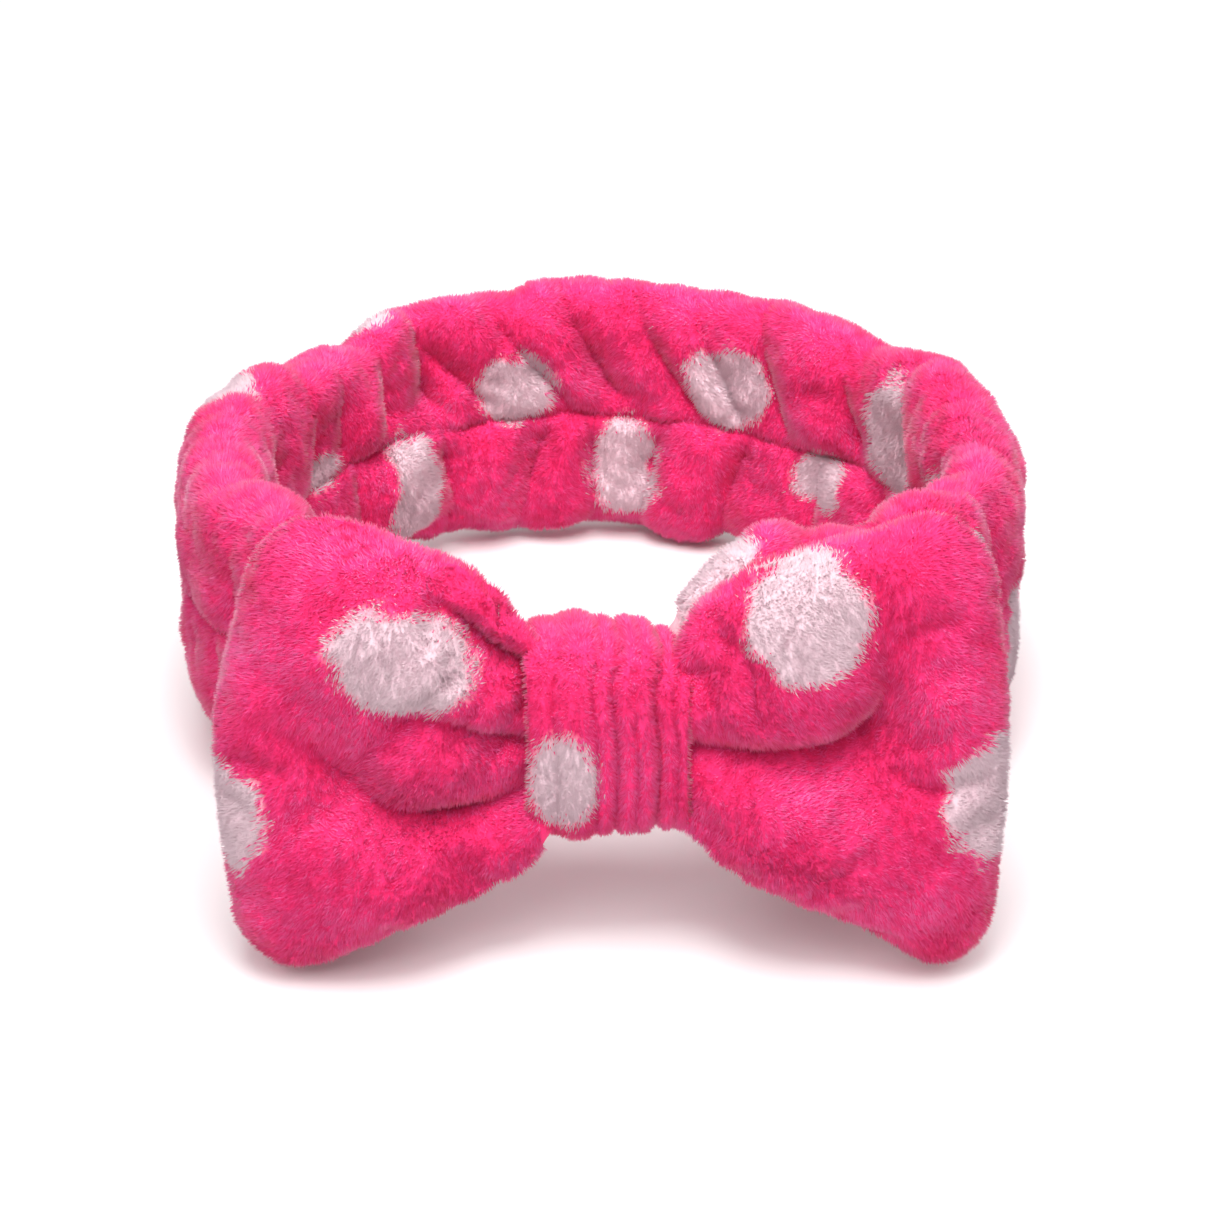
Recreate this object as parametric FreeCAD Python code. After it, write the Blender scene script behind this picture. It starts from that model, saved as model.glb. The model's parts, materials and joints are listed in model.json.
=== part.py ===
"""Spa headband: a ring of gathered plush fleece over an elastic loop, with a padded bow tied to its
front by a wrapped knot. Every piece is built about the ring's centre, and then the whole band is
tipped a few degrees, because it stands on its rear rim and on the bow's two lower corners.

Ring frame, millimetres: origin at the ring's centre, +Z along the head opening, bow towards -Y.
"""

import FreeCAD
import Part

import math
import os

from FreeCAD import Placement, Rotation, Vector

# Band: a fleece tube, pinched at mid-height by the elastic into an upper and a lower roll
RING_R = 85.0  # centreline of the tube
BAND_HALF_THICK = 11.0
BAND_HALF_HEIGHT = 33.5
FLEECE = 4.0  # backing and pile together
CREASE_DEPTH = 4.5  # how far the pinch sinks into each face
CREASE_HALF = 7.0
SPLIT_GAP = 0.3  # between the front and the rear half

# Elastic inside the tube, with its ends lapped under the knot
ELASTIC_THICK = 1.5
ELASTIC_HALF_WIDTH = 5.0
LAP_LENGTH = 20.0

# Where the tube is gathered under the knot
NECK_HALF_THICK = 6.0
NECK_HALF_HEIGHT = 19.0
NECK_HALF_LENGTH = 17.0
NECK_WALL = 2.0
NECK_ANGLE = 23.0  # degrees from the front, where the tube has its full size again

# Knot: a fleece strip wrapped round the gathered tube and the bow's waist
KNOT_HALF_WIDTH = 16.5
KNOT_FRONT = -106.5
KNOT_BACK = -75.0
KNOT_HALF_HEIGHT = 23.5
KNOT_WALL = 3.5
KNOT_BACK_WALL = 3.0
KNOT_CORNER = 9.0

# Bow
WAIST_FRONT = -102.0
WAIST_BACK = -92.6
WAIST_HALF_HEIGHT = 18.0
WAIST_CORNER = 4.0
BAG_WALL = 3.2
WADDING_GAP = 0.3
# Each wing bends about an upright line beside the knot
HINGE_X = 21.2
HINGE_Y = -97.3
# Right half of the bow: x, middle of the thickness in y, half thickness, half height
WING_SECTIONS = [
    (HINGE_X, HINGE_Y, 4.2, 24.0),
    (30.0, -98.6, 8.0, 37.5),
    (41.0, -99.6, 10.6, 43.0),
    (55.0, -99.8, 12.0, 46.0),
    (70.0, -98.8, 11.0, 48.5),
    (79.5, -97.3, 6.0, 42.0),
]

# Sewing thread
THREAD = 0.7
STITCH_LENGTH = 4.0
CLOSING_STITCHES = 9
KNOT_SEAM_INSET = 2.5  # from the outermost closing stitch to the edge of the wrap
TACK_LENGTH = 7.0

# Standing on a table: degrees that the bow's corners lift the ring's front. The bow stands upright.
TILT = 4.75

Z_AXIS = Vector(0, 0, 1)
CENTRE = Vector(0, 0, 0)


def tube_wire(radius, half_thick, half_height, crease_depth, crease_half):
    """Outline of the tube across the ring, in the XZ plane: two round-topped rolls with a pinch between."""
    outer, inner = radius + half_thick, radius - half_thick
    shoulder = half_height - half_thick

    def at(x, z):
        return Vector(x, 0, z)

    edges = [
        Part.LineSegment(at(outer, crease_half), at(outer, shoulder)),
        Part.Arc(at(outer, shoulder), at(radius, half_height), at(inner, shoulder)),
        Part.LineSegment(at(inner, shoulder), at(inner, crease_half)),
        Part.Arc(at(inner, crease_half), at(inner + crease_depth, 0), at(inner, -crease_half)),
        Part.LineSegment(at(inner, -crease_half), at(inner, -shoulder)),
        Part.Arc(at(inner, -shoulder), at(radius, -half_height), at(outer, -shoulder)),
        Part.LineSegment(at(outer, -shoulder), at(outer, -crease_half)),
        Part.Arc(at(outer, -crease_half), at(outer - crease_depth, 0), at(outer, crease_half)),
    ]
    return Part.Wire([edge.toShape() for edge in edges])


def full_tube_wires():
    """The tube's outline and its hollow, at full size."""
    skin = tube_wire(RING_R, BAND_HALF_THICK, BAND_HALF_HEIGHT, CREASE_DEPTH, CREASE_HALF)
    hollow = tube_wire(
        RING_R, BAND_HALF_THICK - FLEECE, BAND_HALF_HEIGHT - FLEECE, CREASE_DEPTH, CREASE_HALF + 2
    )
    return skin, hollow


def neck_wires():
    """The tube's outline and its hollow where it is gathered under the knot."""
    skin = tube_wire(RING_R, NECK_HALF_THICK, NECK_HALF_HEIGHT, 0.5, CREASE_HALF)
    hollow = tube_wire(
        RING_R, NECK_HALF_THICK - NECK_WALL, NECK_HALF_HEIGHT - NECK_WALL, 0.3, CREASE_HALF
    )
    return skin, hollow


def turned(shape, degrees):
    """A copy turned about the ring's axis. The XZ plane at 0 degrees is the ring's right side."""
    copy = shape.copy()
    copy.rotate(CENTRE, Z_AXIS, degrees)
    return copy


def swept(wire, start, end):
    """A closed outline in the XZ plane, revolved about the ring's axis from one angle to another."""
    return turned(Part.Face(wire), start).revolve(CENTRE, Z_AXIS, end - start)


def swept_tube(skin, hollow, start, end):
    """A length of fleece tube between two angles, open at both ends."""
    core = swept(hollow, start - 1, end + 1)
    return swept(skin, start, end).cut(core)


def split_angle(radius):
    """Half the gap between the ring's two halves, as an angle."""
    return math.degrees(SPLIT_GAP / 2 / radius)


def moved_to_front(wire, x):
    """A wire from the XZ plane, standing across the band at the ring's front, at that x."""
    copy = turned(wire, -90)
    copy.translate(Vector(x, 0, 0))
    return copy


def mirrored(shape):
    """The same piece on the other side of the bow."""
    return shape.mirror(CENTRE, Vector(1, 0, 0))


def rounded_block(x_low, x_high, y_low, y_high, half_height, corner):
    """A block along X whose four long edges are rounded."""
    block = Part.makeBox(
        x_high - x_low, y_high - y_low, 2 * half_height, Vector(x_low, y_low, -half_height)
    )
    long_edges = [
        edge
        for edge in block.Edges
        if abs(edge.Vertexes[0].X - edge.Vertexes[1].X) > 1e-6
    ]
    return block.makeFillet(corner, long_edges)


def band_cover_rear():
    skin, hollow = full_tube_wires()
    gap = split_angle(RING_R)
    return swept_tube(skin, hollow, gap, 180 - gap)


def band_cover_front():
    """The tube's front half: a full-size arm on each side, gathered into the neck under the knot."""
    skin, hollow = full_tube_wires()
    neck_skin, neck_hollow = neck_wires()
    gap = split_angle(RING_R)
    end = -90 + NECK_ANGLE
    arm = swept_tube(skin, hollow, end, -gap)

    def taper(wide, narrow):
        return Part.makeLoft([moved_to_front(narrow, NECK_HALF_LENGTH), turned(wide, end)], True, True)

    def straight(wire):
        return Part.Face(moved_to_front(wire, -NECK_HALF_LENGTH)).extrude(Vector(2 * NECK_HALF_LENGTH, 0, 0))

    gathered = taper(skin, neck_skin).cut(taper(hollow, neck_hollow))
    side = arm.fuse(gathered)
    neck = straight(neck_skin).cut(straight(neck_hollow))
    return side.fuse([neck, mirrored(side)])


def elastic_wire(low_r, high_r):
    return Part.makePolygon(
        [
            Vector(low_r, 0, -ELASTIC_HALF_WIDTH),
            Vector(high_r, 0, -ELASTIC_HALF_WIDTH),
            Vector(high_r, 0, ELASTIC_HALF_WIDTH),
            Vector(low_r, 0, ELASTIC_HALF_WIDTH),
            Vector(low_r, 0, -ELASTIC_HALF_WIDTH),
        ]
    )


def elastic_rear():
    gap = split_angle(RING_R)
    low = RING_R - ELASTIC_THICK / 2
    return swept(elastic_wire(low, low + ELASTIC_THICK), gap, 180 - gap)


def elastic_front():
    """The loop's front half, with the second layer where its ends lap."""
    gap = split_angle(RING_R)
    low = RING_R - ELASTIC_THICK / 2
    loop = swept(elastic_wire(low, low + ELASTIC_THICK), 180 + gap, 360 - gap)
    half_lap = math.degrees(LAP_LENGTH / 2 / RING_R)
    lap = swept(elastic_wire(low - ELASTIC_THICK, low), 270 - half_lap, 270 + half_lap)
    return loop.fuse(lap)


def elastic_lap_stitches():
    """Two bar tacks across the lapped ends, on their inner face."""
    radius = RING_R - 1.5 * ELASTIC_THICK - THREAD / 2
    tacks = []
    for side in (-1, 1):
        angle = math.radians(-90 + side * math.degrees(LAP_LENGTH / 3 / RING_R))
        foot = Vector(radius * math.cos(angle), radius * math.sin(angle), -TACK_LENGTH / 2)
        tacks.append(Part.makeCylinder(THREAD / 2 - 0.02, TACK_LENGTH, foot, Z_AXIS))
    return Part.makeCompound(tacks)


def seam_thread(start, end):
    """The tube's long seam: a thread along the bottom of the crease inside the ring."""
    radius = RING_R - BAND_HALF_THICK + CREASE_DEPTH - THREAD / 2 - 0.05
    circle = Part.makeCircle(THREAD / 2, Vector(radius, 0, 0), Vector(0, 1, 0))
    return swept(Part.Wire(circle), start, end)


def long_seam_rear():
    gap = split_angle(RING_R)
    return seam_thread(gap, 180 - gap)


def long_seam_front():
    gap = split_angle(RING_R)
    right = seam_thread(-90 + NECK_ANGLE + 1, -gap)
    return Part.makeCompound([right, mirrored(right)])


def thread_loop(x, y_low, y_high, half_height, corner):
    """One turn of thread round a gathered piece, across X."""
    outer = rounded_block(
        x - THREAD / 2, x + THREAD / 2, y_low - THREAD, y_high + THREAD, half_height + THREAD, corner
    )
    inner = rounded_block(x - THREAD, x + THREAD, y_low, y_high, half_height, corner - THREAD / 2)
    return outer.cut(inner)


def band_end_seam():
    """The seam that closes the tube's two ends into a ring, round the neck."""
    return thread_loop(
        0,
        -RING_R - NECK_HALF_THICK,
        -RING_R + NECK_HALF_THICK,
        NECK_HALF_HEIGHT,
        NECK_HALF_THICK - 0.5,
    )


def bow_waist():
    """The middle of the bow, gathered to pass through the knot."""
    return rounded_block(
        -KNOT_HALF_WIDTH, KNOT_HALF_WIDTH, WAIST_FRONT, WAIST_BACK, WAIST_HALF_HEIGHT, WAIST_CORNER
    )


def waist_thread():
    """Three turns of gathering thread round the bow's waist."""
    turns = [
        thread_loop(x, WAIST_FRONT, WAIST_BACK, WAIST_HALF_HEIGHT, WAIST_CORNER)
        for x in (-1.5, 0.0, 1.5)
    ]
    return Part.makeCompound(turns)


def knot_wrap():
    skin = rounded_block(
        -KNOT_HALF_WIDTH, KNOT_HALF_WIDTH, KNOT_FRONT, KNOT_BACK, KNOT_HALF_HEIGHT, KNOT_CORNER
    )
    hollow = rounded_block(
        -KNOT_HALF_WIDTH - 1,
        KNOT_HALF_WIDTH + 1,
        KNOT_FRONT + KNOT_WALL,
        KNOT_BACK - KNOT_BACK_WALL,
        KNOT_HALF_HEIGHT - KNOT_WALL,
        NECK_HALF_THICK - 1.5,
    )
    return skin.cut(hollow)


def knot_closing_stitches():
    """Hand stitches in a row across the back of the wrap, inside the ring, where its two ends meet."""
    span = 2 * (KNOT_HALF_WIDTH - KNOT_SEAM_INSET)
    stitches = []
    for i in range(CLOSING_STITCHES):
        x = -span / 2 + span * i / (CLOSING_STITCHES - 1)
        foot = Vector(x, KNOT_BACK + THREAD / 2 + 0.02, -STITCH_LENGTH / 2)
        stitches.append(Part.makeCylinder(THREAD / 2, STITCH_LENGTH, foot, Z_AXIS))
    return Part.makeCompound(stitches)


def ellipse_at(x, y, half_thick, half_height):
    """An upright ellipse across the bow, in the YZ plane at x."""
    wire = Part.Wire(Part.Ellipse(CENTRE, half_height, half_thick).toShape())
    wire.rotate(CENTRE, Vector(0, 1, 0), 90)
    wire.translate(Vector(x, y, 0))
    return wire


def wing_solid(inset):
    """Half of the bow, drawn in by inset on every side. Next to the knot its sections shrink as round
    ones about its bending line, so that it keeps clear of the knot as it bends."""
    x, y, half_thick, half_height = WING_SECTIONS[0]
    half_thick -= inset
    half_height -= inset
    wires = []
    for turn in (75, 50, 25):
        left, size = math.sin(math.radians(turn)), math.cos(math.radians(turn))
        wires.append(ellipse_at(x - half_thick * left, y, half_thick * size, half_height * size))
    last = len(WING_SECTIONS) - 1
    for i, (x, y, half_thick, half_height) in enumerate(WING_SECTIONS):
        shift = -inset if i == last else 0.0
        wires.append(ellipse_at(x + shift, y, half_thick - inset, half_height - inset))
    wing = Part.makeLoft(wires, True, False)
    wing.rotate(Vector(0, HINGE_Y, 0), Vector(1, 0, 0), TILT)
    return wing


def bow_wing_right():
    return wing_solid(0.0).cut(wing_solid(BAG_WALL))


def bow_wadding_right():
    return wing_solid(BAG_WALL + WADDING_GAP)


def bow_seam_right():
    """The seam that closes the wing's bag, along the middle of its back."""
    points = []
    for x, y, half_thick, _ in WING_SECTIONS[1:-1]:
        points.append(Vector(x, y + half_thick + 0.9 * THREAD, 0))
    curve = Part.BSplineCurve()
    curve.interpolate(points)
    spine = Part.Wire(curve.toShape())
    start = Part.makeCircle(THREAD / 2, points[0], curve.tangent(curve.FirstParameter)[0])
    thread = spine.makePipeShell([Part.Wire(start)], True, True)
    thread.rotate(Vector(0, HINGE_Y, 0), Vector(1, 0, 0), TILT)
    return thread


def standing(pieces):
    """Tips the ring's front up by TILT, and sets the lowest point of all pieces on Z = 0, centred in X and Y."""
    tip = Rotation(Vector(1, 0, 0), -TILT)
    tipped = {}
    for name, shape in pieces.items():
        shape = shape.copy()
        shape.Placement = Placement(CENTRE, tip).multiply(shape.Placement)
        tipped[name] = shape
    boxes = [shape.optimalBoundingBox(False) for shape in tipped.values()]
    x_mid = (min(b.XMin for b in boxes) + max(b.XMax for b in boxes)) / 2
    y_mid = (min(b.YMin for b in boxes) + max(b.YMax for b in boxes)) / 2
    low = min(b.ZMin for b in boxes)
    lift = Vector(-x_mid, -y_mid, -low)
    for shape in tipped.values():
        shape.translate(lift)
    return tipped, lift, tip


def main():
    right_wing, right_wadding, right_seam = bow_wing_right(), bow_wadding_right(), bow_seam_right()
    pieces = {
        "band_cover_front": band_cover_front(),
        "band_cover_rear": band_cover_rear(),
        "elastic_front": elastic_front(),
        "elastic_rear": elastic_rear(),
        "elastic_lap_stitches": elastic_lap_stitches(),
        "long_seam_front": long_seam_front(),
        "long_seam_rear": long_seam_rear(),
        "band_end_seam": band_end_seam(),
        "bow_waist": bow_waist(),
        "waist_thread": waist_thread(),
        "bow_wing_right": right_wing,
        "bow_wing_left": mirrored(right_wing),
        "bow_wadding_right": right_wadding,
        "bow_wadding_left": mirrored(right_wadding),
        "bow_seam_right": right_seam,
        "bow_seam_left": mirrored(right_seam),
        "knot_wrap": knot_wrap(),
        "knot_closing_stitches": knot_closing_stitches(),
    }
    placed, lift, tip = standing(pieces)
    os.makedirs("parts", exist_ok=True)
    for name, shape in placed.items():
        shape.exportStep(f"parts/{name}.step")
        box = shape.optimalBoundingBox(False)
        print(
            f"{name}: {len(shape.Solids)} solid(s), valid {shape.isValid()}, {shape.Volume / 1000:.2f} cm3, "
            f"z {box.ZMin:.2f}..{box.ZMax:.2f}, y {box.YMin:.1f}..{box.YMax:.1f}, x {box.XMin:.1f}..{box.XMax:.1f}"
        )
    for label, point in (
        ("ring centre", CENTRE),
        ("right hinge", Vector(HINGE_X, HINGE_Y, 0)),
        ("elastic split", Vector(RING_R, 0, 0)),
    ):
        where = tip.multVec(point) + lift
        print(f"{label}: {where.x:.4f} {where.y:.4f} {where.z:.4f} mm")
    up, back = tip.multVec(Z_AXIS), tip.multVec(Vector(0, 1, 0))
    print(f"ring axis {up.x:.6f} {up.y:.6f} {up.z:.6f}, ring back {back.x:.6f} {back.y:.6f} {back.z:.6f}")


main()
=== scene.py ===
"""Looks of the spa headband: a gathered fleece band, a padded bow and its knot, all with a short pile.

Shapes are worked out in millimetres in the ring frame: its origin is the middle of the head opening,
+Z runs along the opening and the bow is towards -Y. place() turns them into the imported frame's metres.
"""

import json
import math

import bpy
import numpy as np
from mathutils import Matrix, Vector


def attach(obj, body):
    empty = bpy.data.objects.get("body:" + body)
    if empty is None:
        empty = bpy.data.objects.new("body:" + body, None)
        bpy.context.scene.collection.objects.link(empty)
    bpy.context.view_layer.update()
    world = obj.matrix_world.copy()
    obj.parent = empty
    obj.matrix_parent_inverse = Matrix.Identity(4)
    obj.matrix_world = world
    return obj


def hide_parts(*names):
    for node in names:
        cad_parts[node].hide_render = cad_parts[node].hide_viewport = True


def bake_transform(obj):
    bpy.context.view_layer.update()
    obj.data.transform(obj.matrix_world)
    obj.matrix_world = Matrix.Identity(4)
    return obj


MM = 0.001
FLOOR_GAP = 0.0002

# Band
RING_R = 85.0
BAND_HALF_THICK = 8.6
BAND_HALF_HEIGHT = 30.5
NECK_HALF_THICK = 5.0
NECK_HALF_HEIGHT = 16.5
REAR_LIFT = 3.0
REAR_SAG = 5.2
CREASE_DROP = 0.055
INNER_PINCH = 0.8
OUTER_PINCH = 0.42
BAND_ROWS = 620
BAND_COLUMNS = 150
STRIP_ROWS = 240
STRIP_COLUMNS = 12

# Bow
BOW_SHIFT = 2.0
KNOT_Y = -90.5
WING_Y = -98.0
WING_LEAN = 0.12
WING_ROOT = 9.0
LEAST_WING = 5.2
WADDING_INSET = 3.2
FILL_SCALE = 5.0
FILL_CAP = 5.0
FILL_FRAMES = 20

# Pile: length and half width of a strand, strands on a square millimetre, and how far a strand leans
# along the nap, into its clump, with the swirls and at random
PILE_LENGTH = 1.6
KNOT_PILE_LENGTH = 1.3
PILE_WIDTH = 0.2
PILE_DENSITY = 6.0
STRANDS_IN_PIECE = 48000
NAP_LEAN = 0.70
CLUMP_LEAN = 0.26
SWIRL_LEAN = 0.24
LOOSE_LEAN = 0.18

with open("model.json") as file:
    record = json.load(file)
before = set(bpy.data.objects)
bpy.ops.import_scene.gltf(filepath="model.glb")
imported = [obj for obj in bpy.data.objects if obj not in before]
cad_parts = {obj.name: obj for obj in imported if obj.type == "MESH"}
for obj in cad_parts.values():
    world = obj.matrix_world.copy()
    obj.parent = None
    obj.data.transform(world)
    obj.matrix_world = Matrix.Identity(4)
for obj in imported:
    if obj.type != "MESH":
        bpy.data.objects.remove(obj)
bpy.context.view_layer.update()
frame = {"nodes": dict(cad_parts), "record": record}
opening = frame["record"]["mounts"][0]
RING_CENTRE = np.array(opening["pos_m"])
UP = np.array(opening["axis"]) / np.linalg.norm(opening["axis"])
RIGHT = np.array([1.0, 0.0, 0.0])
BACK = np.cross(UP, RIGHT)
AXES = np.array([RIGHT, BACK, UP])


# ---------------------------------------------------------------- helpers


def place(points):
    """Ring-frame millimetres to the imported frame's metres."""
    return RING_CENTRE + MM * (np.asarray(points, float) @ AXES)


def smooth(x, low, high):
    """0 below low, 1 above high, and an even S between."""
    t = np.clip((np.asarray(x, float) - low) / (high - low), 0, 1)
    return t * t * (3 - 2 * t)


def hump(x, middle, width):
    """A smooth bump, 1 at its middle."""
    return np.exp(-(((x - middle) / width) ** 2))


def unit(vectors):
    """The vectors at a length of 1."""
    return vectors / np.maximum(np.linalg.norm(vectors, axis=-1, keepdims=True), 1e-9)


def turn_from(start, bearing):
    """Degrees from one bearing round to another, -180 to 180."""
    return (bearing - start + 180) % 360 - 180


class Ripple:
    """Smooth seeded noise of about one wavelength: a sum of waves in many directions."""

    def __init__(self, seed, wavelength, count=28):
        rng = np.random.default_rng(seed)
        ways = unit(rng.normal(size=(count, 3)))
        self.k = ways * (2 * np.pi / wavelength) * rng.uniform(0.65, 1.4, (count, 1))
        self.phase = rng.uniform(0, 2 * np.pi, count)
        self.scale = math.sqrt(2 / count)

    def __call__(self, p):
        shape = p.shape[:-1]
        flat = p.reshape(-1, 3)
        return (self.scale * np.cos(flat @ self.k.T + self.phase).sum(1)).reshape(shape)

    def slope(self, p):
        """Direction in which the noise rises, about 1 long."""
        rise = -(np.sin(p @ self.k.T + self.phase) @ self.k)
        return rise / (np.sqrt((rise**2).sum(1).mean()) + 1e-9)


def grid_faces(rows, columns, wrap_rows=False, wrap_columns=False):
    """Quads over a grid of points, rows by columns."""
    index = np.arange(rows * columns).reshape(rows, columns)
    if wrap_rows:
        index = np.vstack([index, index[:1]])
    if wrap_columns:
        index = np.hstack([index, index[:, :1]])
    return quads_over(index)


def quads_over(index):
    """Quads between neighbours in a grid of point numbers."""
    return np.stack(
        [index[:-1, :-1], index[1:, :-1], index[1:, 1:], index[:-1, 1:]], axis=-1
    ).reshape(-1, 4)


def point_normals(points, faces):
    """Outward normal at each point, from the quads around it."""
    a, b, c, d = (points[faces[:, i]] for i in range(4))
    face = np.cross(c - a, d - b)
    normals = np.zeros_like(points)
    for i in range(4):
        np.add.at(normals, faces[:, i], face)
    return unit(normals)


def turned_out(points, faces, middles):
    """The quads, turned where needed so that their normals point away from the middles."""
    away = ((points - middles) * point_normals(points, faces)).sum()
    return faces if away > 0 else faces[:, ::-1]


class Cloth:
    """A fleece surface: its points in the ring frame, its quads, how far each point is inside a dot, and
    the way its pile lies."""

    def __init__(self, points, faces, dots, nap):
        self.points, self.faces = points, faces
        self.normals = point_normals(points, faces)
        self.dots, self.nap = dots, nap


def mesh_object(name, points, faces):
    """A smooth-shaded mesh of ring-frame points; faces is an array, a row for each face."""
    world = place(points)
    world[:, 2] = np.maximum(world[:, 2], FLOOR_GAP)
    mesh = bpy.data.meshes.new(name)
    mesh.vertices.add(len(world))
    mesh.vertices.foreach_set("co", world.astype(np.float32).ravel())
    mesh.loops.add(faces.size)
    mesh.loops.foreach_set("vertex_index", faces.astype(np.int32).ravel())
    mesh.polygons.add(len(faces))
    starts = np.arange(len(faces), dtype=np.int32) * faces.shape[1]
    mesh.polygons.foreach_set("loop_start", starts)
    mesh.update(calc_edges=True)
    mesh.validate()
    mesh.shade_smooth()
    piece = bpy.data.objects.new(name, mesh)
    bpy.context.scene.collection.objects.link(piece)
    return piece


def tubes_object(name, lines, radius, sides=8):
    """Closed round strands, one along each line of points, as one mesh."""
    turn = np.linspace(0, 2 * np.pi, sides, endpoint=False)[None, :, None]
    points, faces, foot = [], [], 0
    for line in lines:
        way = unit(np.gradient(line, axis=0))
        aside = np.eye(3)[np.abs(way).mean(0).argmin()]
        first = unit(np.cross(way, aside))
        second = np.cross(way, first)
        rings = line[:, None] + radius * (np.cos(turn) * first[:, None] + np.sin(turn) * second[:, None])
        points += [rings.reshape(-1, 3), line[:1], line[-1:]]
        last = len(line) * sides
        faces += (grid_faces(len(line), sides, False, True) + foot).tolist()
        for i in range(sides):
            faces.append([foot + i, foot + (i + 1) % sides, foot + last])
            faces.append([foot + last - sides + (i + 1) % sides, foot + last - sides + i, foot + last + 1])
        foot += last + 2
    mesh = bpy.data.meshes.new(name)
    mesh.from_pydata(place(np.vstack(points)).tolist(), [], faces)
    mesh.shade_smooth()
    piece = bpy.data.objects.new(name, mesh)
    bpy.context.scene.collection.objects.link(piece)
    return piece


# ---------------------------------------------------------------- materials


def principled(name, colour, roughness, sheen=0.0):
    """A new material of one colour, and its shader."""
    material = bpy.data.materials.new(name)
    material.use_nodes = True
    shader = material.node_tree.nodes["Principled BSDF"]
    shader.inputs["Base Color"].default_value = (*colour, 1)
    shader.inputs["Roughness"].default_value = roughness
    shader.inputs["Specular IOR Level"].default_value = 0.15
    shader.inputs["Sheen Weight"].default_value = sheen
    shader.inputs["Sheen Roughness"].default_value = 0.45
    shader.inputs["Sheen Tint"].default_value = (1, 0.75, 0.85, 1)
    return material, shader


# Pile colours, from the deep strands to the light ones
PINKS = [
    (0.84, 0.017, 0.125),
    (0.90, 0.028, 0.170),
    (0.94, 0.040, 0.210),
    (0.97, 0.056, 0.255),
    (0.98, 0.080, 0.305),
    (0.99, 0.125, 0.375),
]
WHITES = [(0.77, 0.55, 0.615), (0.80, 0.585, 0.645), (0.83, 0.62, 0.675)]


def fleece_ground():
    """The knitted backing under the pile, with the dots printed through it."""
    material, shader = principled("fleece_ground", PINKS[2], 0.95, 0.2)
    nodes, links = material.node_tree.nodes, material.node_tree.links
    dot = nodes.new("ShaderNodeAttribute")
    dot.attribute_name = "dot"
    place_in = nodes.new("ShaderNodeTexCoord")
    blotch = nodes.new("ShaderNodeTexNoise")
    blotch.inputs["Scale"].default_value = 260
    blotch.inputs["Detail"].default_value = 4
    pink = nodes.new("ShaderNodeMix")
    pink.data_type = "RGBA"
    pink.inputs["A"].default_value = (*PINKS[0], 1)
    pink.inputs["B"].default_value = (*PINKS[3], 1)
    edge = nodes.new("ShaderNodeMapRange")
    edge.inputs["From Min"].default_value = -0.35
    edge.inputs["From Max"].default_value = 0.35
    both = nodes.new("ShaderNodeMix")
    both.data_type = "RGBA"
    both.inputs["B"].default_value = (*WHITES[1], 1)
    knit = nodes.new("ShaderNodeTexNoise")
    knit.inputs["Scale"].default_value = 900
    bump = nodes.new("ShaderNodeBump")
    bump.inputs["Strength"].default_value = 0.72
    bump.inputs["Distance"].default_value = 0.0006
    links.new(place_in.outputs["Object"], blotch.inputs["Vector"])
    links.new(place_in.outputs["Object"], knit.inputs["Vector"])
    links.new(blotch.outputs["Fac"], pink.inputs["Factor"])
    links.new(dot.outputs["Fac"], edge.inputs["Value"])
    links.new(edge.outputs["Result"], both.inputs["Factor"])
    links.new(pink.outputs["Result"], both.inputs["A"])
    links.new(both.outputs["Result"], shader.inputs["Base Color"])
    links.new(knit.outputs["Fac"], bump.inputs["Height"])
    links.new(bump.outputs["Normal"], shader.inputs["Normal"])
    return material


def pile_materials():
    """One plain material for each strand colour."""
    shades = []
    for i, colour in enumerate(PINKS + WHITES):
        shades.append(principled(f"pile_{i}", colour, 0.85, 0.42)[0])
    return shades


def thread_material(name, colour):
    """Twisted sewing thread, with painted shade in the grooves of its twist as darker diagonal bands."""
    material, shader = principled(name, colour, 0.6)
    nodes, links = material.node_tree.nodes, material.node_tree.links
    place_in = nodes.new("ShaderNodeTexCoord")
    twist = nodes.new("ShaderNodeTexWave")
    twist.inputs["Scale"].default_value = 700
    twist.bands_direction = "DIAGONAL"
    # Painted shade: the grooves of the twist, darkened to 0.55 of the colour in diagonal bands
    shade = nodes.new("ShaderNodeMix")
    shade.data_type = "RGBA"
    shade.inputs["A"].default_value = (*[0.55 * c for c in colour], 1)
    shade.inputs["B"].default_value = (*colour, 1)
    links.new(place_in.outputs["Object"], twist.inputs["Vector"])
    links.new(twist.outputs["Fac"], shade.inputs["Factor"])
    links.new(shade.outputs["Result"], shader.inputs["Base Color"])
    return material


def wadding_material():
    """Loose white polyester fibre."""
    material, shader = principled("wadding_fibre", (0.9, 0.9, 0.88), 1.0)
    nodes, links = material.node_tree.nodes, material.node_tree.links
    place_in = nodes.new("ShaderNodeTexCoord")
    tufts = nodes.new("ShaderNodeTexNoise")
    tufts.inputs["Scale"].default_value = 300
    tufts.inputs["Detail"].default_value = 6
    bump = nodes.new("ShaderNodeBump")
    bump.inputs["Distance"].default_value = 0.001
    links.new(place_in.outputs["Object"], tufts.inputs["Vector"])
    links.new(tufts.outputs["Fac"], bump.inputs["Height"])
    links.new(bump.outputs["Normal"], shader.inputs["Normal"])
    return material


# ---------------------------------------------------------------- band


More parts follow.
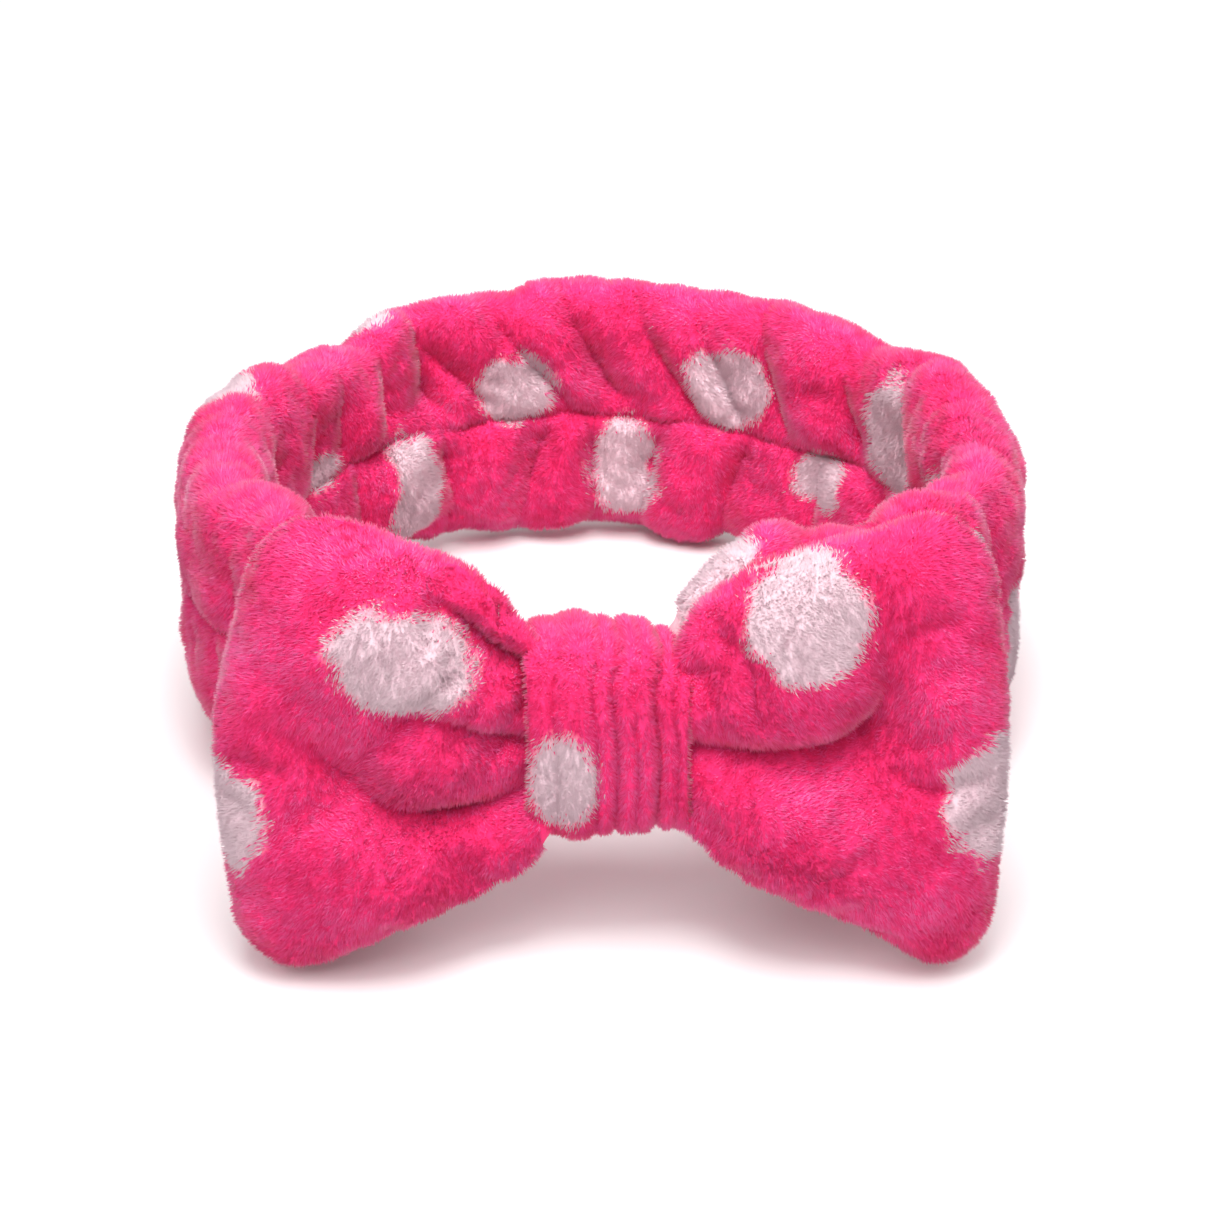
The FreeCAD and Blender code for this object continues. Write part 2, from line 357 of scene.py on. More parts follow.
# Bumps along the ring: degrees from the rear middle, rise, width in degrees. They move the middle of the
# band's tube out and up, add to its half height, and raise its top rim and the inside of its bottom rim.
MIDDLE_OUT = [(0, 2.5, 38), (-58, -2.6, 22), (58, 2.2, 18), (101, 2.2, 17), (-96, 1.0, 14), (153, -1.5, 13)]
MIDDLE_UP = [(-10, 1.5, 14), (36, -1.3, 10), (-44, 2.0, 14), (153, 4.0, 13)]
TALLER = [(-54, -4.3, 15), (-44, -2.6, 14)]
TOP_RIM_UP = [
    (-86, 2.5, 6),
    (-72, 1.2, 5),
    (-47, -3.6, 5),
    (-36, 2.0, 4),
    (-14, -3.2, 4.5),
    (-3, 1.8, 3.5),
    (6, 1.2, 5),
    (30, 1.5, 6),
    (52, -5.6, 7.5),
]
BOTTOM_RIM_UP = [(-33, 4.5, 8), (15, -2.6, 8)]


def bumps(bearing, listed):
    """The listed bumps added up at each bearing."""
    return sum(rise * hump(bearing, at, width) for at, rise, width in listed)


def rearness(bearing):
    """1 at the rear of the ring, 0 from its sides to its front."""
    return smooth(np.cos(np.radians(bearing)), 0.1, 0.95)


def ring_middle(bearing):
    """Radius and height of the middle of the band's tube: the rear stands a little out and up."""
    radius = RING_R + bumps(bearing, MIDDLE_OUT)
    return radius, REAR_LIFT * rearness(bearing) + bumps(bearing, MIDDLE_UP)


def on_ring(bearing, radius, height):
    """The ring-frame points at a bearing, radius and height."""
    ring = np.radians(bearing)
    return np.stack([radius * np.sin(ring), radius * np.cos(ring), height], axis=-1)


def ring_coordinates(points):
    """Degrees from the rear middle (right side positive), radius, and height, of ring-frame points."""
    bearing = np.degrees(np.arctan2(points[..., 0], points[..., 1]))
    return bearing, np.hypot(points[..., 0], points[..., 1]), points[..., 2]


# Folds across the inside of the band, seen from the bow: where each crosses the middle crease, in
# degrees from the rear middle; how far it leans there per millimetre of height; its depth; its softness
UPPER_FOLDS = [
    (-65, -0.1, 3.4, 2.8),
    (-54, -0.1, 3.2, 2.8),
    (-42, -0.1, 3.0, 3.0),
    (-30, -0.15, 6.0, 4.2),
    (-19, -0.75, 3.2, 3.2),
    (-5, -0.75, 3.0, 3.0),
    (4, -0.5, 4.6, 3.2),
    (19, -0.6, 3.0, 3.0),
    (27, -0.45, 2.6, 2.8),
    (37, -0.3, 3.4, 3.2),
    (53, -0.25, 3.6, 3.2),
    (75, -0.3, 5.0, 4.0),
    (92, 0.2, 4.0, 3.6),
]
LOWER_FOLDS = [
    (-70, 0.0, 3.2, 3.5),
    (-52, 0.1, 3.0, 3.0),
    (-30, 0.15, 4.2, 3.2),
    (-8, -0.3, 4.0, 3.2),
    (-1, 0.0, 3.2, 2.6),
    (12, -0.2, 4.0, 3.2),
    (28, -0.25, 4.2, 3.2),
    (44, 0.0, 3.0, 3.0),
    (60, 0.1, 3.6, 3.2),
    (82, 0.1, 3.4, 3.5),
]
# The band's dots: degrees from the rear middle, radius, height, half width, half height, half depth,
# all in millimetres after the first
BAND_DOTS = [
    (-15.5, 76, 10.8, 11.0, 10.0, 9),
    (25, 76, 12.4, 11.0, 11.8, 9),
    (65, 76, 14, 9.8, 17.0, 9),
    (-62, 75, 4.5, 7.0, 4.5, 7),
    (-38, 76, -12.2, 9.0, 17.0, 9),
    (5, 77, -11.5, 9.5, 15.0, 9),
    (45, 76, -5, 8.5, 7.6, 9),
    (-79, 87.5, 27, 12.5, 10.0, 9),
    (-39.5, 89.5, 31, 6.0, 7.0, 7),
    (98, 76, 17, 10.0, 5.0, 6),
    (162.5, 81, 29, 9.5, 9.5, 12),
    (170, 84, 19, 7.5, 8.5, 10),
    (104, 97, -14, 12.0, 16.0, 10),
]


def regular_dots():
    """The rest of the band's print: staggered rows, where no listed dot is near. The outside of the left
    side is bare."""
    dots = []
    for row, (radius, height) in enumerate([(94, 15), (94, -17), (75, 14), (75, -14)]):
        for step in range(9):
            bearing = turn_from(0, 40 * step + 20 * (row % 2) + 6)
            near = any(
                abs(turn_from(b, bearing)) < 30 and abs(r - radius) < 14 and abs(h - height) < 26
                for b, r, h, *_ in BAND_DOTS
            )
            bare = radius > RING_R and -115 < bearing < -55
            if not near and not bare:
                dots.append((bearing, radius, height, 11.0, 12.0, 9))
    return dots


def band_dots(points):
    """How far inside a dot each point is: above 0 inside, below 0 outside, about 1 at 4 mm in."""
    bearing, radius, height = ring_coordinates(points)
    wobble = 0.06 * Ripple(41, 9.0)(points)
    best = np.full(bearing.shape, -1.0)
    for b, r, h, half_w, half_h, half_d in BAND_DOTS + regular_dots():
        along = np.radians(turn_from(b, bearing)) * r
        reach = np.hypot(np.hypot(along / half_w, (height - h) / half_h), (radius - r) / half_d)
        best = np.maximum(best, (1 - reach + wobble) * min(half_w, half_h) / 4)
    return np.clip(best, -1, 1)


def fold_depths(folds, bearing, radius, height):
    """Depth of the listed folds at each point. Each is a sharp valley, steep on one side."""
    depth = np.zeros(bearing.shape)
    for i, (start, lean, deep, width) in enumerate(folds):
        off = np.radians(turn_from(start, bearing)) * radius - lean * np.abs(height)
        side = np.where(off * (-1) ** i > 0, width * 1.5, width * 0.75)
        depth += deep * (0.7 * np.exp(-np.abs(off) / side) + 0.3 * np.exp(-((off / (2.2 * side)) ** 2)))
    return depth


def side_folds(seed, first, last, low, high, deep):
    """Folds spaced at random between two bearings, low to high degrees apart."""
    rng = np.random.default_rng(seed)
    folds, at = [], first
    while at < last:
        folds.append((at, rng.uniform(-0.25, 0.25), deep * rng.uniform(0.7, 1.3), rng.uniform(3, 4.5)))
        at += rng.uniform(low, high)
    return folds


def fullness(bearing):
    """0 where the knot squeezes the band, 1 where it has its full width."""
    return smooth(180 - np.abs(bearing), 9, 27)


def swell(bearing):
    """Slow lumps along the band."""
    return Ripple(3, 42.0)(on_ring(bearing, *ring_middle(bearing)))


def outer_side(turn):
    """1 on the outer face of the band's tube, 0 on its inner face."""
    return smooth(np.cos(turn), -0.25, 0.25)


def half_height_at(bearing):
    """Half the band's height: narrow inside the knot, with a bulge beside it on the right."""
    from_front = 180 - np.abs(bearing)
    full = fullness(bearing)
    half_height = NECK_HALF_HEIGHT + (BAND_HALF_HEIGHT - NECK_HALF_HEIGHT) * full
    half_height = half_height + 0.9 * swell(bearing) * full + bumps(bearing, TALLER)
    half_height = half_height + 6.0 * hump(bearing, 164.5, 8) * smooth(from_front, 8.5, 13)
    return half_height - 2.4 * (1 - smooth(from_front, 8, 12))


def band_tube(bearing, turn):
    """The band before its folds are pressed in, as a tube pinched by the crease round each face: the
    radius and height of each point, and its height above the crease."""
    full, outside, sine = fullness(bearing), outer_side(turn), np.sin(turn)
    half_height = half_height_at(bearing)
    half_thick = NECK_HALF_THICK + (BAND_HALF_THICK - NECK_HALF_THICK) * full
    pinch = (INNER_PINCH + (OUTER_PINCH - INNER_PINCH) * outside) * (0.35 + 0.65 * full)
    tube = (1 - np.abs(sine) ** 2.6) ** (1 / 2.6)
    drop = CREASE_DROP * rearness(bearing) * (1 - outside)
    rolls = (1 - np.abs(2 * np.abs(sine + drop * (1 - sine**2)) - 1) ** 2.4) ** (1 / 2.4)
    offset = half_thick * ((1 - pinch) * tube + pinch * rolls) * np.sign(np.cos(turn))
    sag = REAR_SAG * rearness(bearing) * smooth(offset / half_thick, -0.5, 0.8)
    sag = sag - bumps(bearing, BOTTOM_RIM_UP) * (1 - outside)
    height = half_height * sine + bumps(bearing, TOP_RIM_UP) * smooth(sine, 0.2, 1)
    height = height - sag * smooth(-sine, 0.3, 1)
    return ring_middle(bearing)[0] + offset, height, height + half_height * drop


def band_fold_depth(bearing, turn, radius, height, from_crease):
    """How deep the folds and the knot's gathers are pressed into the band. The folds fade towards the
    rims, most of all at the sides, and stop at the crease."""
    where = np.broadcast_to(bearing, radius.shape)
    upper = smooth(from_crease, -2, 2)
    side = hump(np.abs(bearing), 74, 32)
    high_up = smooth(np.abs(height), 12 - 4 * side, 31 - 6 * side)

    def both(upper_folds, lower_folds):
        depth = upper * fold_depths(upper_folds, where, radius, height)
        return depth + (1 - upper) * fold_depths(lower_folds, where, radius, height)

    upper_folds = UPPER_FOLDS + side_folds(5, 106, 277, 9, 14, 3.2)
    lower_folds = LOWER_FOLDS + side_folds(6, 98, 290, 12, 18, 3.4)
    inner = 2.0 * both(upper_folds, lower_folds) * (1 - (0.6 + 0.3 * side) * high_up)
    outer = both(side_folds(7, -180, 180, 14, 26, 2.3), side_folds(8, -176, 184, 14, 26, 2.3))
    outer = 1.4 * outer * (1 - (0.45 + 0.4 * side) * high_up)
    outside, full = outer_side(turn), fullness(bearing)
    depth = (1 - outside) * (inner - 1.9) + outside * outer
    depth = depth * (0.3 + 0.7 * full) * smooth(np.abs(from_crease), 0, 7) - 1.3
    return depth - (1 - full) * 1.1 * np.sin(np.sin(turn) * 15 + 3 * swell(bearing))


def band_nap(p):
    """The band's pile lies down, and to one side or the other along the ring."""
    bearing, radius, height = ring_coordinates(p)
    down = np.array([0, 0, -1.0]) * np.where(radius > RING_R, 1.0, 0.8)[:, None]
    along = np.stack([p[:, 1], -p[:, 0], 0 * radius], axis=1) / radius[:, None]
    return 0.55 * down + 0.4 * along * Ripple(12, 30.0)(p)[:, None]


def band_cloth():
    """The band's cover, closed all the way round: rows run round the ring, columns round the tube."""
    bearing = np.linspace(-180, 180, BAND_ROWS, endpoint=False)[:, None]
    turn = np.linspace(-np.pi, np.pi, BAND_COLUMNS, endpoint=False)[None, :]
    middle, lift = ring_middle(bearing)
    radius, height, from_crease = band_tube(bearing, turn)
    points = on_ring(bearing, radius, height + lift)
    middles = np.broadcast_to(on_ring(bearing, middle, lift), points.shape).reshape(-1, 3)
    faces = turned_out(points.reshape(-1, 3), grid_faces(BAND_ROWS, BAND_COLUMNS, True, True), middles)
    normals = point_normals(points.reshape(-1, 3), faces)
    depth = band_fold_depth(bearing, turn, radius, height, from_crease)
    depth += 0.35 * Ripple(9, 14.0)(points) + 0.18 * Ripple(10, 6.0)(points)
    flat = points.reshape(-1, 3) - normals * depth.reshape(-1, 1)
    return Cloth(flat, faces, band_dots(flat), band_nap)


def ring_strip(thick, half_height, inwards):
    """A flat strip that follows the middle of the band's tube all the way round, rounded at its edges."""
    bearing = np.linspace(-180, 180, STRIP_ROWS, endpoint=False)[:, None]
    turn = np.linspace(0, 2 * np.pi, STRIP_COLUMNS, endpoint=False)[None, :]
    middle, lift = ring_middle(bearing)
    radius = middle + inwards + thick / 2 * np.sign(np.cos(turn)) * np.abs(np.cos(turn)) ** 0.5
    points = on_ring(bearing, radius, lift + half_height * np.sin(turn))
    return points.reshape(-1, 3), grid_faces(STRIP_ROWS, STRIP_COLUMNS, True, True)


# ---------------------------------------------------------------- bow


def spline(points, samples=60):
    """A smooth line through a few points (Catmull-Rom)."""
    p = np.array(points, float)
    p = np.vstack([2 * p[0] - p[1], p, 2 * p[-1] - p[-2]])
    t = np.linspace(0, 1, samples)[:, None]
    pieces = []
    for a, b, c, d in zip(p, p[1:], p[2:], p[3:]):
        bend, twist = 2 * a - 5 * b + 4 * c - d, 3 * b - a - 3 * c + d
        pieces.append(0.5 * (2 * b + (c - a) * t + bend * t**2 + twist * t**3))
    return np.vstack(pieces)


class Crease:
    """A valley pressed into the bow along a smooth line of (x, z) points, deepest part way along."""

    def __init__(self, points, depth, width, start=1.0, end=0.0, skew=0.0):
        self.line = spline(points)
        self.depth, self.width = depth, width
        self.start, self.end, self.skew = start, end, skew

    def at(self, x, z):
        line = self.line
        gap = np.hypot(x[..., None] - line[:, 0], z[..., None] - line[:, 1])
        nearest = gap.argmin(-1)
        along = nearest / (len(line) - 1)
        way = np.gradient(line, axis=0)[nearest]
        side = np.sign((x - line[nearest, 0]) * way[..., 1] - (z - line[nearest, 1]) * way[..., 0])
        near = gap.min(-1)
        width = self.width * (1 + self.skew * side)
        fade = np.clip(self.start + (1 - self.start) * along / 0.3, 0, 1)
        fade = fade * np.clip(self.end + (1 - self.end) * (1 - along) / 0.45, 0, 1)
        return self.depth * fade * np.exp(-((near / width) ** 1.35))


def finer(grid, rows, columns):
    """A grid of vectors, read at more rows and columns."""
    down = np.linspace(0, grid.shape[0] - 1, rows)
    over = np.linspace(0, grid.shape[1] - 1, columns)
    row = down.astype(int).clip(0, grid.shape[0] - 2)
    column = over.astype(int).clip(0, grid.shape[1] - 2)
    u, v = (down - row)[:, None, None], (over - column)[None, :, None]
    above = grid[row][:, column] * (1 - v) + grid[row][:, column + 1] * v
    below = grid[row + 1][:, column] * (1 - v) + grid[row + 1][:, column + 1] * v
    return above * (1 - u) + below * u


def swollen(name, points, faces, held):
    """A closed bag's points after a short cloth simulation with pressure inside. held is 1 where a point
    stays and 0 where it is free. It runs at FILL_SCALE times full size and keeps each move under a cap."""
    bag = mesh_object(name, points, faces)
    start = place(points) * FILL_SCALE
    bag.data.vertices.foreach_set("co", start.astype(np.float32).ravel())
    pins = bag.vertex_groups.new(name="held")
    for i, weight in enumerate(held):
        pins.add([i], float(weight), "REPLACE")
    cloth = bag.modifiers.new("filling", "CLOTH")
    cloth.settings.quality = 6
    cloth.settings.mass = 0.2
    cloth.settings.tension_stiffness = 12
    cloth.settings.compression_stiffness = 12
    cloth.settings.bending_stiffness = 0.5
    cloth.settings.shrink_min = -0.03
    cloth.settings.use_pressure = True
    cloth.settings.uniform_pressure_force = 4
    cloth.settings.vertex_group_mass = "held"
    cloth.settings.effector_weights.gravity = 0
    cloth.collision_settings.use_collision = False
    for step in range(1, FILL_FRAMES + 1):
        bpy.context.scene.frame_set(step)
    filled = bag.evaluated_get(bpy.context.evaluated_depsgraph_get()).data
    end = np.empty(len(points) * 3, np.float32)
    filled.vertices.foreach_get("co", end)
    bpy.context.scene.frame_set(1)
    mesh = bag.data
    bpy.data.objects.remove(bag)
    bpy.data.meshes.remove(mesh)
    move = (end.reshape(-1, 3) - start) / FILL_SCALE / MM @ AXES.T
    far = np.linalg.norm(move, axis=1, keepdims=True)
    return points + move * np.minimum(1, FILL_CAP / np.maximum(far, 1e-9))


class Wing:
    """Half of the bow. Its outline and creases are (x, z) millimetres on the bow's own leaning plane,
    with x away from the knot. A dot is its middle, half width, half height, turn in degrees, and whether
    it is on the front (None for both faces). A lobe is a soft swelling: its middle, size and rise."""

    def __init__(
        self, name, side, top, bottom, tip, corner, taper, dots, creases, back_creases, lobes, seed
    ):
        self.name, self.side, self.taper = name, side, taper
        self.top, self.bottom = spline(top), spline(bottom)
        self.tip, self.corner = tip, corner
        self.dots, self.creases, self.back_creases = dots, creases, back_creases
        self.lobes, self.seed = lobes, seed

    def edge(self, line, x, sign):
        """Height of the top or bottom edge at x, rounded off at the tip's corner."""
        z = np.interp(x, line[:, 0], line[:, 1])
        into = np.clip((x - (self.tip - self.corner)) / self.corner, 0, 1)
        return z - sign * self.corner * (1 - np.sqrt(1 - into**2))

    def sides(self, rows, columns, inset=0.0):
        """Grids of the front and the back, and which of their points lie on the shared edge.
        With an inset they lie that far inside the bag."""
        p = np.linspace(0, 1, rows)[:, None]
        g = np.linspace(-1, 1, columns)[None, :]
        q = np.sin(g * np.pi / 2)
        tip = self.tip - inset
        start = WING_ROOT + 4 * inset
        x = start + (tip - start) * (0.65 * np.sin(p * np.pi / 2) + 0.35 * p) + 0 * q
        high = self.edge(self.top, x + inset, 1) - inset
        low = self.edge(self.bottom, x + inset, -1) + inset
        z = (high + low) / 2 + q * (high - low) / 2
        round_z = (1 - np.abs(q) ** 2.3) ** (1 / 2.3)
        round_x = (1 - np.clip((x - (tip - 17)) / 17, 0, 1) ** 2.2) ** (1 / 2.2)
        body = round_z * round_x
        half = (5.2 + 5.6 * smooth(x, 14, 40)) * body
        plane = np.stack([x, 0 * x, z], axis=-1)
        lumps, small = Ripple(self.seed, 34.0), Ripple(self.seed + 1, 11.0)
        front = half + (0.9 * lumps(plane) + 0.3 * small(plane)) * body
        back = half + (0.9 * lumps(plane + 70.0) + 0.3 * small(plane + 50.0)) * body
        for cx, cz, size, rise in self.lobes:
            front = front + rise * np.exp(-((x - cx) ** 2 + (z - cz) ** 2) / size**2) * body**0.5
        for crease in self.creases:
            front = front - crease.at(x, z) * body**0.35
        for crease in self.back_creases:
            back = back - crease.at(x, z) * body**0.35
        back = np.maximum(back, LEAST_WING * body**0.6 - front)
        front, back = front - inset * body, back - inset * body
        slant = self.taper * (smooth(z, 2, 46) + 0.25 * smooth(-z, 8, 40))
        x = x - slant * (x / self.tip) ** 2
        edge = (np.abs(g) == 1) | (p == 1)
        mid = WING_Y + WING_LEAN * z

        def sheet(y):
            return np.stack([self.side * x + BOW_SHIFT, y, z], axis=-1)

        return np.where(edge[..., None], sheet(mid), sheet(mid - front)), sheet(mid + back), edge

    def bag(self, rows, columns, inset=0.0):
        """The closed bag's points and quads, and each point's place in the grids of front and back."""
        front, back, edge = self.sides(rows, columns, inset)
        index_front = np.arange(rows * columns).reshape(rows, columns)
        index_back = np.where(edge, index_front, index_front + rows * columns)
        root = np.stack(
            [index_front[0, :-1], index_front[0, 1:], index_back[0, 1:], index_back[0, :-1]], axis=-1
        )
        faces = np.vstack([quads_over(index_front)[:, ::-1], quads_over(index_back), root[:, ::-1]])
        if self.side > 0:
            faces = faces[:, ::-1]
        points = np.vstack([front.reshape(-1, 3), back.reshape(-1, 3)])
        used, faces = np.unique(faces, return_inverse=True)
        return points[used], faces.reshape(-1, 4), used

    def cloth(self):
        """The bag's cover, filled, with the line that its seam thread follows kept as seam_line."""
        rows, columns = 110, 130
        points, faces, used = self.bag(rows, columns)
        move = self.filled(rows, columns)
        back = self.sides(rows, columns)[1] + move[rows * columns :].reshape(rows, columns, 3)
        self.seam_line = back[8:-12:2, columns // 2] + np.array([0, 0.3, 0])
        points = points + move[used]
        return Cloth(points, faces, self.dot_field(points, used < rows * columns), self.nap)

    def filled(self, rows, columns):
        """How far each point of the front and then the back moves when the bag is filled: a short
        cloth simulation, with the seam, the knot end and the bottoms of the creases held."""
        coarse_rows, coarse_columns = 56, 66
        points, faces, used = self.bag(coarse_rows, coarse_columns)
        x, z = (points[:, 0] - BOW_SHIFT) * self.side, points[:, 2]
        front = used < coarse_rows * coarse_columns
        creases = [np.where(front, sum(c.at(x, z) for c in self.creases), 0)]
        creases.append(np.where(front, 0, sum(c.at(x, z) for c in self.back_creases)))
        held = smooth(np.max(creases, axis=0), 1.0, 5.0)
        held = np.maximum(held, 1 - smooth(x, WING_ROOT + 4, WING_ROOT + 14))
        seam = self.sides(coarse_rows, coarse_columns)[2].ravel()
        held = np.maximum(held, 0.9 * np.where(front, np.append(seam, seam)[used], 0))
        move = np.zeros((2 * coarse_rows * coarse_columns, 3))
        move[used] = swollen(f"{self.name}_filling", points, faces, held) - points
        front_move, back_move = move.reshape(2, coarse_rows, coarse_columns, 3)
        back_move = np.where(seam.reshape(coarse_rows, coarse_columns, 1), front_move, back_move)
        return np.vstack([finer(grid, rows, columns).reshape(-1, 3) for grid in (front_move, back_move)])

    def dot_field(self, points, front):
        """How far inside a dot each point is, as band_dots gives it."""
        x = (points[:, 0] - BOW_SHIFT) * self.side
        z = points[:, 2]
        wobble = 0.05 * Ripple(self.seed + 2, 8.0)(points)
        best = np.full(x.shape, -1.0)
        for cx, cz, half_w, half_h, turn, on_front in self.dots:
            c, s = math.cos(math.radians(turn)), math.sin(math.radians(turn))
            u, v = (x - cx) * c + (z - cz) * s, -(x - cx) * s + (z - cz) * c
            reach = np.sqrt((u / half_w) ** 2 + (v / half_h) ** 2)
            value = (1 - reach + wobble) * min(half_w, half_h) / 4
            if on_front is not None:
                value = np.where(front == on_front, value, -1)
            best = np.maximum(best, value)
        return np.clip(best, -1, 1)

    def nap(self, p):
        """The pile lies away from the knot and a little down."""
        out = np.stack([np.full(len(p), self.side * 0.8), 0 * p[:, 0], np.full(len(p), -0.35)], axis=1)
        return out + 0.5 * Ripple(self.seed + 3, 40.0).slope(p)


LEFT_WING = Wing(
    "left",
    -1,
    top=[(5, 15), (12, 19), (17, 25), (24, 33), (33, 38), (52, 44), (64, 46.5), (80, 45)],
    bottom=[(5, -12), (11, -17.5), (17, -25.5), (28, -31.5), (45, -39), (60, -45), (80, -46)],
    tip=77.5,
    corner=14,
    taper=8.0,
    dots=[
        (40, 22.5, 14.5, 9.8, 22, True),
        (79.5, -11.5, 11.5, 12.0, 0, None),
        (50, -20, 12, 12, 0, False),
        (36, 15, 11, 11, 0, False),
    ],
    creases=[
        Crease([(9, 12), (16.5, 17), (23, 22), (28.5, 28), (34, 32), (39, 34.5)], 9.0, 4.0, 0.6, 0.0, 0.3),
        Crease([(9, 0), (17, 1.5), (23, 3.5), (31, 8.5), (39, 10.5), (47, 13)], 5.5, 3.4, 0.7, 0.0, 0.2),
        Crease(
            [(9, -7), (14, -8.5), (23, -11.5), (33, -12.5), (42, -12), (48, -8), (53, -3), (57, 2), (61, 9)],
            10.0,
            5.6,
            0.4,
            0.1,
            -0.3,
        ),
    ],
    back_creases=[
        Crease([(9, 6), (20, 10), (40, 14)], 6, 5),
        Crease([(9, -6), (22, -12), (44, -20)], 6, 5),
    ],
    lobes=[(38, 21, 13, 3.4), (34, -2, 11, 3.6), (45, -28, 17, 2.4), (62, 32, 15, 2.0), (22, 31, 8, 2.5)],
    seed=21,
)
RIGHT_WING = Wing(
    "right",
    1,
    top=[(5, 13), (12, 18), (17, 27), (24, 33.5), (33, 38), (55, 44), (68, 47), (82, 45)],
    bottom=[(5, -11), (14, -16.5), (19, -20.5), (28, -28), (52, -38.5), (66, -45.5), (82, -46.5)],
    tip=78.5,
    corner=14,
    taper=3.5,
    dots=[
        (38.7, 29.8, 12.2, 11.6, 0, True),
        (79, -7.5, 13.2, 14.0, 0, None),
        (34, -16, 11, 11, 0, False),
        (55, 18, 12, 12, 0, False),
    ],
    creases=[
        Crease(
            [(9, 1.5), (17, 1), (27, 0), (37, 0.5), (44, 1.5)]
            + [(50, 5.5), (53.5, 11), (55, 18), (55, 27), (53, 38)],
            10.5,
            6.0,
            0.45,
            0.0,
            0.25,
        ),
        Crease([(9, 12), (17, 17), (25, 20)], 2.2, 4.0, 1.0, 0.0),
        Crease([(9, -10), (18, -14), (28, -22)], 2.0, 4.0, 1.0, 0.0),
        Crease([(60, 26), (66, 28), (72, 29)], 1.4, 2.5, 0.0, 0.0),
    ],
    back_creases=[
        Crease([(9, 5), (22, 12), (40, 20)], 6, 5),
        Crease([(9, -6), (24, -8), (44, -12)], 6, 5),
    ],
    lobes=[(34, 18, 15, 3.8), (67, 12, 13, 3.0), (38, -15, 15, 2.8), (64, -32, 14, 1.8), (66, 34, 10, 1.5)],
    seed=31,
)


# ---------------------------------------------------------------- knot

KNOT_HALF_WIDTH = 15.6
KNOT_HALF_THICK = 13.0
KNOT_HALF_HEIGHT = 18.9
KNOT_POWER = 2 / 3.2
KNOT_RISE = 0.8
KNOT_STRIP = 4.0
KNOT_MIDDLE = np.array([BOW_SHIFT, KNOT_Y, 0])
KNOT_ROWS = 190
KNOT_COLUMNS = 128
CLOSING_STITCHES = 9
STITCH_REACH = 4
WAIST_HALF_LENGTH = 15.0
# Gathers that run round the knot: x, depth, width
KNOT_GATHERS = [
    (-10.5, 1.5, 2.0),
    (-2.6, 2.0, 1.6),
    (1.4, 3.4, 1.5),
    (5.4, 2.0, 1.5),
    (9.6, 4.2, 1.7),
    (13.4, 2.0, 1.3),
]


def rounded(turn, half, power):
    """One side of a superellipse: half the size at a turn of 0, none at a right angle."""
    c = np.cos(turn)
    return half * np.sign(c) * np.abs(c) ** power


def knot_dot(points):
    """The knot's one dot, on its front."""
    x, y, z = points.T
    reach = np.sqrt(((x + 7.0) / 6.9) ** 2 + ((z + 4.5) / 10.5) ** 2)
    return np.clip(np.where(y < KNOT_Y, (1 - reach) * 1.8, -1), -1, 1)


def knot_nap(p):
    """The knot's pile lies down."""
    return np.stack([0 * p[:, 0], 0 * p[:, 0], np.full(len(p), -0.5)], axis=1)


def knot_cloth():
    """A strip wrapped into a loop: rows run round the loop, columns round the strip's own edge."""
    around = np.linspace(0, 2 * np.pi, KNOT_ROWS, endpoint=False)[:, None]
    across = np.linspace(0, 2 * np.pi, KNOT_COLUMNS, endpoint=False)[None, :]
    loop_y = rounded(around, KNOT_HALF_THICK, KNOT_POWER)
    loop_z = rounded(around - np.pi / 2, KNOT_HALF_HEIGHT, KNOT_POWER)
    out = unit(np.stack([0 * loop_y, loop_y / KNOT_HALF_THICK**2, loop_z / KNOT_HALF_HEIGHT**2], axis=-1))
    wide = np.cos(across)
    thick = np.sign(np.sin(across)) * (1 - np.abs(wide) ** 3.64) ** 0.4
    x = KNOT_HALF_WIDTH * wide * (1 + 0.05 * (loop_z / KNOT_HALF_HEIGHT) ** 2)
    wander = 0.9 * Ripple(51, 26.0)(np.stack([0 * x, loop_y + 0 * x, loop_z + 0 * x], axis=-1))
    gathers = sum(depth * np.exp(-np.abs(x - at - wander) / width) for at, depth, width in KNOT_GATHERS)
    crown = 1.2 * (1 - wide**2)
    rise = KNOT_STRIP / 2 * thick
    rise = rise + np.where(thick > 0, crown - gathers + 0.8, 0) * np.abs(thick)
    closing_line = np.where(loop_y > 0, 1.0, 0) * hump(loop_z, 0, 1.0)
    rise = rise - closing_line * np.maximum(thick, 0)
    shoulder = 2.6 * smooth(x, 5, KNOT_HALF_WIDTH) * smooth(loop_z, 0, KNOT_HALF_HEIGHT)
    points = np.stack([x + BOW_SHIFT, loop_y + KNOT_Y + 0 * x, loop_z + KNOT_RISE - shoulder], axis=-1)
    points = (points + out * rise[..., None]).reshape(-1, 3)
    faces = turned_out(points, grid_faces(KNOT_ROWS, KNOT_COLUMNS, True, True), KNOT_MIDDLE)
    return Cloth(points, faces, knot_dot(points), knot_nap)


def knot_stitches(cloth):
    """Hand stitches over the line where the wrap's two ends meet, inside the ring."""
    points = cloth.points.reshape(KNOT_ROWS, KNOT_COLUMNS, 3)
    normals = cloth.normals.reshape(KNOT_ROWS, KNOT_COLUMNS, 3)
    around = np.arange(-STITCH_REACH, STITCH_REACH + 1)
    above = 1.1 - 1.3 * (np.abs(around) / STITCH_REACH)[:, None] ** 3
    lines = []
    for x in np.linspace(-1, 1, CLOSING_STITCHES) * (KNOT_HALF_WIDTH - 2.5):
        column = np.abs(points[0, : KNOT_COLUMNS // 2, 0] - BOW_SHIFT - x).argmin()
        lines.append(points[around, column] + above * normals[around, column])
    return lines


